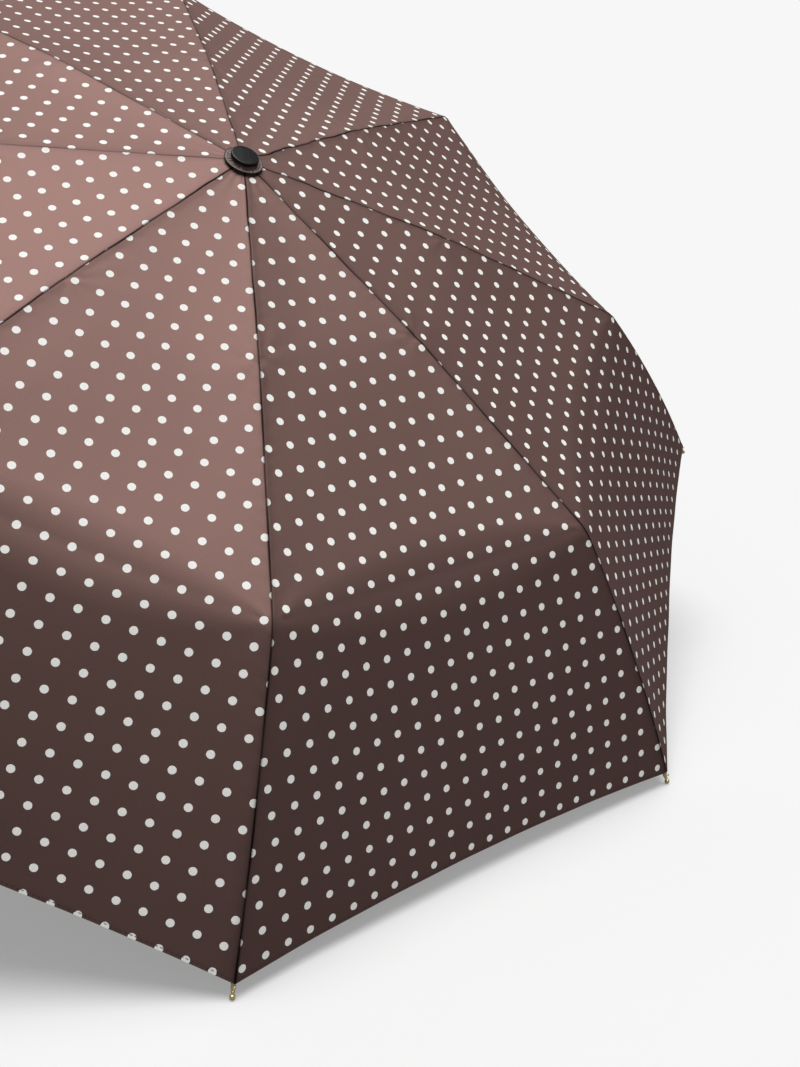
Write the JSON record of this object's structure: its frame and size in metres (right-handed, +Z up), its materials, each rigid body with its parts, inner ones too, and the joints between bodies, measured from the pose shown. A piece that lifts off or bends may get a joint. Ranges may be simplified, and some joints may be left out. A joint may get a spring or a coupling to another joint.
{
  "type": "folding umbrella",
  "caption": "Compact folding umbrella, open and lying on its rib tips and handle, with a polka-dot canopy on folding ribs and a telescopic shaft.",
  "frame": {"origin": "on the floor, under the centre of the whole open umbrella as it lies on two rib tips and the end of its handle", "axes": "+Z up; +X along the line from the left resting tip to the right one, the widest way across; +Y from the resting tips towards the handle"},
  "size_m": [0.8884, 0.7218, 0.5458],
  "materials": {
    "canopy_fabric": "brown pongee with an off-white polka-dot print",
    "trim_fabric": "brown pongee trim, stitched",
    "black_plastic": "black, finely textured",
    "tube_steel": "bright drawn tube",
    "black_steel": "black lacquered channel",
    "wire_steel": "drawn wire",
    "brass": "polished"
  },
  "bodies": {
    "root": {"upper_tube": "tube_steel", "crown": "black_plastic", "crown_wire": "wire_steel", "rosette": "trim_fabric", "cap": "black_plastic"},
    "runner": {"runner": "black_plastic", "runner_wire": "wire_steel"},
    "runner_catch": {"runner_catch": "tube_steel"},
    "middle_tube": {"middle_tube": "tube_steel"},
    "lower_tube": {"lower_tube": "tube_steel", "handle": "black_plastic"},
    "top_rib_1": {"top_rib_1": "black_steel", "gore_1": "canopy_fabric"},
    "middle_rib_1": {"middle_rib_1": "black_steel"},
    "outer_rib_1": {"outer_rib_1": "black_steel", "rib_tip_1": "brass"},
    "stretcher_1": {"stretcher_1": "black_steel"},
    "top_rib_2": {"top_rib_2": "black_steel", "gore_2": "canopy_fabric"},
    "middle_rib_2": {"middle_rib_2": "black_steel"},
    "outer_rib_2": {"outer_rib_2": "black_steel", "rib_tip_2": "brass"},
    "stretcher_2": {"stretcher_2": "black_steel"},
    "top_rib_3": {"top_rib_3": "black_steel", "gore_3": "canopy_fabric"},
    "middle_rib_3": {"middle_rib_3": "black_steel"},
    "outer_rib_3": {"outer_rib_3": "black_steel", "rib_tip_3": "brass"},
    "stretcher_3": {"stretcher_3": "black_steel"},
    "top_rib_4": {"top_rib_4": "black_steel", "gore_4": "canopy_fabric"},
    "middle_rib_4": {"middle_rib_4": "black_steel"},
    "outer_rib_4": {"outer_rib_4": "black_steel", "rib_tip_4": "brass"},
    "stretcher_4": {"stretcher_4": "black_steel"},
    "top_rib_5": {"top_rib_5": "black_steel", "gore_5": "canopy_fabric"},
    "middle_rib_5": {"middle_rib_5": "black_steel"},
    "outer_rib_5": {"outer_rib_5": "black_steel", "rib_tip_5": "brass"},
    "stretcher_5": {"stretcher_5": "black_steel"},
    "top_rib_6": {"top_rib_6": "black_steel", "gore_6": "canopy_fabric"},
    "middle_rib_6": {"middle_rib_6": "black_steel"},
    "outer_rib_6": {"outer_rib_6": "black_steel", "rib_tip_6": "brass", "closing_strap": "trim_fabric"},
    "stretcher_6": {"stretcher_6": "black_steel"},
    "top_rib_7": {"top_rib_7": "black_steel", "gore_7": "canopy_fabric"},
    "middle_rib_7": {"middle_rib_7": "black_steel"},
    "outer_rib_7": {"outer_rib_7": "black_steel", "rib_tip_7": "brass"},
    "stretcher_7": {"stretcher_7": "black_steel"},
    "top_rib_8": {"top_rib_8": "black_steel", "gore_8": "canopy_fabric"},
    "middle_rib_8": {"middle_rib_8": "black_steel"},
    "outer_rib_8": {"outer_rib_8": "black_steel", "rib_tip_8": "brass"},
    "stretcher_8": {"stretcher_8": "black_steel"}
  },
  "joints": [
    {"name": "runner_slide", "type": "slide", "parent": "root", "child": "runner", "axis": [0, 0.5836, -0.812], "range_m": [0, 0.12692], "deforming": ["gore_1", "gore_2", "gore_3", "gore_4", "gore_5", "gore_6", "gore_7", "gore_8", "closing_strap"]},
    {"name": "middle_tube_slide", "type": "slide", "parent": "root", "child": "middle_tube", "axis": [0, -0.5836, 0.812], "range_m": [0, 0.1096]},
    {"name": "lower_tube_slide", "type": "slide", "parent": "middle_tube", "child": "lower_tube", "axis": [0, -0.5836, 0.812], "range_m": [0, 0.1096]},
    {"name": "runner_catch_press", "type": "slide", "parent": "root", "child": "runner_catch", "axis": [0, -0.812, -0.5836], "range_m": [0, 0.0012], "stiffness_N_per_m": 400, "springref_m": -0.001},
    {"name": "top_rib_fold_1", "type": "hinge", "parent": "root", "child": "top_rib_1", "pos_m": [-0.00367, -0.12302, 0.41591], "axis": [0.9239, -0.3108, -0.2233], "range_deg": [0, 78.12]},
    {"name": "middle_rib_fold_1", "type": "hinge", "parent": "top_rib_1", "child": "middle_rib_1", "pos_m": [-0.0611, -0.22145, 0.31529], "axis": [0.9239, -0.3108, -0.2233], "range_deg": [-181.72, 0]},
    {"name": "outer_rib_fold_1", "type": "hinge", "parent": "middle_rib_1", "child": "outer_rib_1", "pos_m": [-0.12325, -0.31807, 0.19266], "axis": [0.9239, -0.3108, -0.2233], "range_deg": [0, 153.22]},
    {"name": "stretcher_fold_1", "type": "hinge", "parent": "runner", "child": "stretcher_1", "pos_m": [-0.00421, -0.08801, 0.36497], "axis": [0.9239, -0.3108, -0.2233], "range_deg": [-61.05, 0]},
    {"name": "top_rib_fold_2", "type": "hinge", "parent": "root", "child": "top_rib_2", "pos_m": [0.00367, -0.12302, 0.41591], "axis": [0.9239, 0.3108, 0.2233], "range_deg": [0, 78.12]},
    {"name": "middle_rib_fold_2", "type": "hinge", "parent": "top_rib_2", "child": "middle_rib_2", "pos_m": [0.0611, -0.22145, 0.31529], "axis": [0.9239, 0.3108, 0.2233], "range_deg": [-181.72, 0]},
    {"name": "outer_rib_fold_2", "type": "hinge", "parent": "middle_rib_2", "child": "outer_rib_2", "pos_m": [0.12325, -0.31807, 0.19266], "axis": [0.9239, 0.3108, 0.2233], "range_deg": [0, 153.22]},
    {"name": "stretcher_fold_2", "type": "hinge", "parent": "runner", "child": "stretcher_2", "pos_m": [0.00421, -0.08801, 0.36497], "axis": [0.9239, 0.3108, 0.2233], "range_deg": [-61.05, 0]},
    {"name": "top_rib_fold_3", "type": "hinge", "parent": "root", "child": "top_rib_3", "pos_m": [0.00887, -0.11881, 0.41894], "axis": [0.3827, 0.7502, 0.5392], "range_deg": [0, 78.12]},
    {"name": "middle_rib_fold_3", "type": "hinge", "parent": "top_rib_3", "child": "middle_rib_3", "pos_m": [0.14751, -0.15128, 0.36572], "axis": [0.3827, 0.7502, 0.5392], "range_deg": [-181.72, 0]},
    {"name": "outer_rib_fold_3", "type": "hinge", "parent": "middle_rib_3", "child": "outer_rib_3", "pos_m": [0.29754, -0.17653, 0.29438], "axis": [0.3827, 0.7502, 0.5392], "range_deg": [0, 153.22]},
    {"name": "stretcher_fold_3", "type": "hinge", "parent": "runner", "child": "stretcher_3", "pos_m": [0.01016, -0.08317, 0.36844], "axis": [0.3827, 0.7502, 0.5392], "range_deg": [-61.05, 0]},
    {"name": "top_rib_fold_4", "type": "hinge", "parent": "root", "child": "top_rib_4", "pos_m": [0.00887, -0.11284, 0.42323], "axis": [-0.3827, 0.7502, 0.5392], "range_deg": [0, 78.12]},
    {"name": "middle_rib_fold_4", "type": "hinge", "parent": "top_rib_4", "child": "middle_rib_4", "pos_m": [0.14751, -0.05205, 0.43704], "axis": [-0.3827, 0.7502, 0.5392], "range_deg": [-181.72, 0]},
    {"name": "outer_rib_fold_4", "type": "hinge", "parent": "middle_rib_4", "child": "outer_rib_4", "pos_m": [0.29754, 0.02363, 0.43823], "axis": [-0.3827, 0.7502, 0.5392], "range_deg": [0, 153.22]},
    {"name": "stretcher_fold_4", "type": "hinge", "parent": "runner", "child": "stretcher_4", "pos_m": [0.01016, -0.07634, 0.37336], "axis": [-0.3827, 0.7502, 0.5392], "range_deg": [-61.05, 0]},
    {"name": "top_rib_fold_5", "type": "hinge", "parent": "root", "child": "top_rib_5", "pos_m": [0.00367, -0.10862, 0.42626], "axis": [-0.9239, 0.3108, 0.2233], "range_deg": [0, 78.12]},
    {"name": "middle_rib_fold_5", "type": "hinge", "parent": "top_rib_5", "child": "middle_rib_5", "pos_m": [0.0611, 0.01812, 0.48747], "axis": [-0.9239, 0.3108, 0.2233], "range_deg": [-181.72, 0]},
    {"name": "outer_rib_fold_5", "type": "hinge", "parent": "middle_rib_5", "child": "outer_rib_5", "pos_m": [0.12325, 0.16516, 0.53995], "axis": [-0.9239, 0.3108, 0.2233], "range_deg": [0, 153.22]},
    {"name": "stretcher_fold_5", "type": "hinge", "parent": "runner", "child": "stretcher_5", "pos_m": [0.00421, -0.0715, 0.37683], "axis": [-0.9239, 0.3108, 0.2233], "range_deg": [-61.05, 0]},
    {"name": "top_rib_fold_6", "type": "hinge", "parent": "root", "child": "top_rib_6", "pos_m": [-0.00367, -0.10862, 0.42626], "axis": [-0.9239, -0.3108, -0.2233], "range_deg": [0, 78.12]},
    {"name": "middle_rib_fold_6", "type": "hinge", "parent": "top_rib_6", "child": "middle_rib_6", "pos_m": [-0.0611, 0.01812, 0.48747], "axis": [-0.9239, -0.3108, -0.2233], "range_deg": [-181.72, 0]},
    {"name": "outer_rib_fold_6", "type": "hinge", "parent": "middle_rib_6", "child": "outer_rib_6", "pos_m": [-0.12325, 0.16516, 0.53995], "axis": [-0.9239, -0.3108, -0.2233], "range_deg": [0, 153.22]},
    {"name": "stretcher_fold_6", "type": "hinge", "parent": "runner", "child": "stretcher_6", "pos_m": [-0.00421, -0.0715, 0.37683], "axis": [-0.9239, -0.3108, -0.2233], "range_deg": [-61.05, 0]},
    {"name": "top_rib_fold_7", "type": "hinge", "parent": "root", "child": "top_rib_7", "pos_m": [-0.00887, -0.11284, 0.42323], "axis": [-0.3827, -0.7502, -0.5392], "range_deg": [0, 78.12]},
    {"name": "middle_rib_fold_7", "type": "hinge", "parent": "top_rib_7", "child": "middle_rib_7", "pos_m": [-0.14751, -0.05205, 0.43704], "axis": [-0.3827, -0.7502, -0.5392], "range_deg": [-181.72, 0]},
    {"name": "outer_rib_fold_7", "type": "hinge", "parent": "middle_rib_7", "child": "outer_rib_7", "pos_m": [-0.29754, 0.02363, 0.43823], "axis": [-0.3827, -0.7502, -0.5392], "range_deg": [0, 153.22]},
    {"name": "stretcher_fold_7", "type": "hinge", "parent": "runner", "child": "stretcher_7", "pos_m": [-0.01016, -0.07634, 0.37336], "axis": [-0.3827, -0.7502, -0.5392], "range_deg": [-61.05, 0]},
    {"name": "top_rib_fold_8", "type": "hinge", "parent": "root", "child": "top_rib_8", "pos_m": [-0.00887, -0.11881, 0.41894], "axis": [0.3827, -0.7502, -0.5392], "range_deg": [0, 78.12]},
    {"name": "middle_rib_fold_8", "type": "hinge", "parent": "top_rib_8", "child": "middle_rib_8", "pos_m": [-0.14751, -0.15128, 0.36572], "axis": [0.3827, -0.7502, -0.5392], "range_deg": [-181.72, 0]},
    {"name": "outer_rib_fold_8", "type": "hinge", "parent": "middle_rib_8", "child": "outer_rib_8", "pos_m": [-0.29754, -0.17653, 0.29438], "axis": [0.3827, -0.7502, -0.5392], "range_deg": [0, 153.22]},
    {"name": "stretcher_fold_8", "type": "hinge", "parent": "runner", "child": "stretcher_8", "pos_m": [-0.01016, -0.08317, 0.36844], "axis": [0.3827, -0.7502, -0.5392], "range_deg": [-61.05, 0]}
  ],
  "couplings": [
    {"joint": "top_rib_fold_1", "follows": "runner_slide", "rad_per_m": 10.74},
    {"joint": "middle_rib_fold_1", "follows": "runner_slide", "rad_per_m": -24.986},
    {"joint": "outer_rib_fold_1", "follows": "runner_slide", "rad_per_m": 21.067},
    {"joint": "stretcher_fold_1", "follows": "runner_slide", "rad_per_m": -8.392},
    {"joint": "top_rib_fold_2", "follows": "runner_slide", "rad_per_m": 10.74},
    {"joint": "middle_rib_fold_2", "follows": "runner_slide", "rad_per_m": -24.986},
    {"joint": "outer_rib_fold_2", "follows": "runner_slide", "rad_per_m": 21.067},
    {"joint": "stretcher_fold_2", "follows": "runner_slide", "rad_per_m": -8.392},
    {"joint": "top_rib_fold_3", "follows": "runner_slide", "rad_per_m": 10.74},
    {"joint": "middle_rib_fold_3", "follows": "runner_slide", "rad_per_m": -24.986},
    {"joint": "outer_rib_fold_3", "follows": "runner_slide", "rad_per_m": 21.067},
    {"joint": "stretcher_fold_3", "follows": "runner_slide", "rad_per_m": -8.392},
    {"joint": "top_rib_fold_4", "follows": "runner_slide", "rad_per_m": 10.74},
    {"joint": "middle_rib_fold_4", "follows": "runner_slide", "rad_per_m": -24.986},
    {"joint": "outer_rib_fold_4", "follows": "runner_slide", "rad_per_m": 21.067},
    {"joint": "stretcher_fold_4", "follows": "runner_slide", "rad_per_m": -8.392},
    {"joint": "top_rib_fold_5", "follows": "runner_slide", "rad_per_m": 10.74},
    {"joint": "middle_rib_fold_5", "follows": "runner_slide", "rad_per_m": -24.986},
    {"joint": "outer_rib_fold_5", "follows": "runner_slide", "rad_per_m": 21.067},
    {"joint": "stretcher_fold_5", "follows": "runner_slide", "rad_per_m": -8.392},
    {"joint": "top_rib_fold_6", "follows": "runner_slide", "rad_per_m": 10.74},
    {"joint": "middle_rib_fold_6", "follows": "runner_slide", "rad_per_m": -24.986},
    {"joint": "outer_rib_fold_6", "follows": "runner_slide", "rad_per_m": 21.067},
    {"joint": "stretcher_fold_6", "follows": "runner_slide", "rad_per_m": -8.392},
    {"joint": "top_rib_fold_7", "follows": "runner_slide", "rad_per_m": 10.74},
    {"joint": "middle_rib_fold_7", "follows": "runner_slide", "rad_per_m": -24.986},
    {"joint": "outer_rib_fold_7", "follows": "runner_slide", "rad_per_m": 21.067},
    {"joint": "stretcher_fold_7", "follows": "runner_slide", "rad_per_m": -8.392},
    {"joint": "top_rib_fold_8", "follows": "runner_slide", "rad_per_m": 10.74},
    {"joint": "middle_rib_fold_8", "follows": "runner_slide", "rad_per_m": -24.986},
    {"joint": "outer_rib_fold_8", "follows": "runner_slide", "rad_per_m": 21.067},
    {"joint": "stretcher_fold_8", "follows": "runner_slide", "rad_per_m": -8.392}
  ]
}
